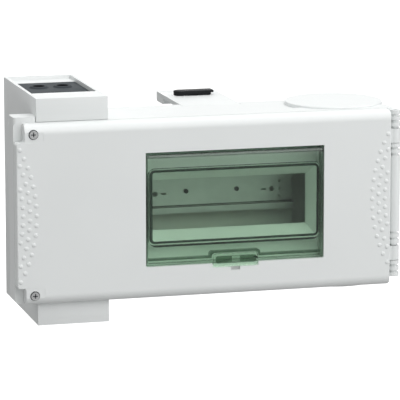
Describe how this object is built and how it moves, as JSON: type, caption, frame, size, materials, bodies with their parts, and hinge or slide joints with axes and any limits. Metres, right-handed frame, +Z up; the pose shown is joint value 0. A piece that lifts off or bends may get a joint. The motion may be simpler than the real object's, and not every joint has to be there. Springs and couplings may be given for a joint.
{
  "type": "electrical distribution box",
  "caption": "White moulded distribution box for rail-mounted modules, with a hinged cover, a green tinted lift-up window flap, a cable column and a hook arm with a latch.",
  "frame": {"origin": "centre of the four rear fixing holes, on the outer face of the rear wall", "axes": "+X to the right seen from the front, +Y to the rear, +Z up"},
  "size_m": [0.3555, 0.1774, 0.2034],
  "materials": {
    "white_plastic": "fine satin moulding",
    "dark_plastic": "matt moulding",
    "black_plastic": "satin moulding",
    "rubber": "soft matt",
    "pale_rubber": "soft matt",
    "dark_steel": "blackened",
    "green_window": "clear tinted",
    "steel": "bright zinc plated",
    "zinc": "zinc plated",
    "brass": "machined"
  },
  "bodies": {
    "housing": {"base_shell": "white_plastic", "cable_column": "white_plastic", "upper_gland_plate": "dark_plastic", "lower_gland_plate": "dark_plastic", "upper_grommets": "rubber", "lower_grommets": "rubber", "upper_entry_cap": "white_plastic", "lower_entry_cap": "white_plastic", "hook_arm": "white_plastic", "arm_screws": "steel", "din_rail": "zinc", "rail_screws": "dark_steel", "neutral_bar": "brass", "earth_bar": "brass", "bar_supports": "dark_plastic", "terminal_screws": "steel", "hinge_pins": "steel", "cover_gasket": "pale_rubber", "screw_receivers": "brass", "column_screws": "steel"},
    "cover": {"front_cover": "white_plastic", "fascia": "white_plastic", "fascia_screws": "steel", "cover_screws": "steel", "screw_retainers": "black_plastic"},
    "flap": {"window_flap": "green_window"},
    "latch": {"arm_latch": "black_plastic"}
  },
  "joints": [
    {"name": "cover_swing", "type": "hinge", "parent": "housing", "child": "cover", "pos_m": [0.1515, -0.083, 0], "axis": [0, 0, 1], "range_deg": [0, 110]},
    {"name": "flap_swing", "type": "hinge", "parent": "cover", "child": "flap", "pos_m": [0, -0.085, 0.046], "axis": [-1, 0, 0], "range_deg": [0, 90]},
    {"name": "latch_slide", "type": "slide", "parent": "housing", "child": "latch", "axis": [0, -1, 0], "range_m": [0, 0.009]}
  ]
}
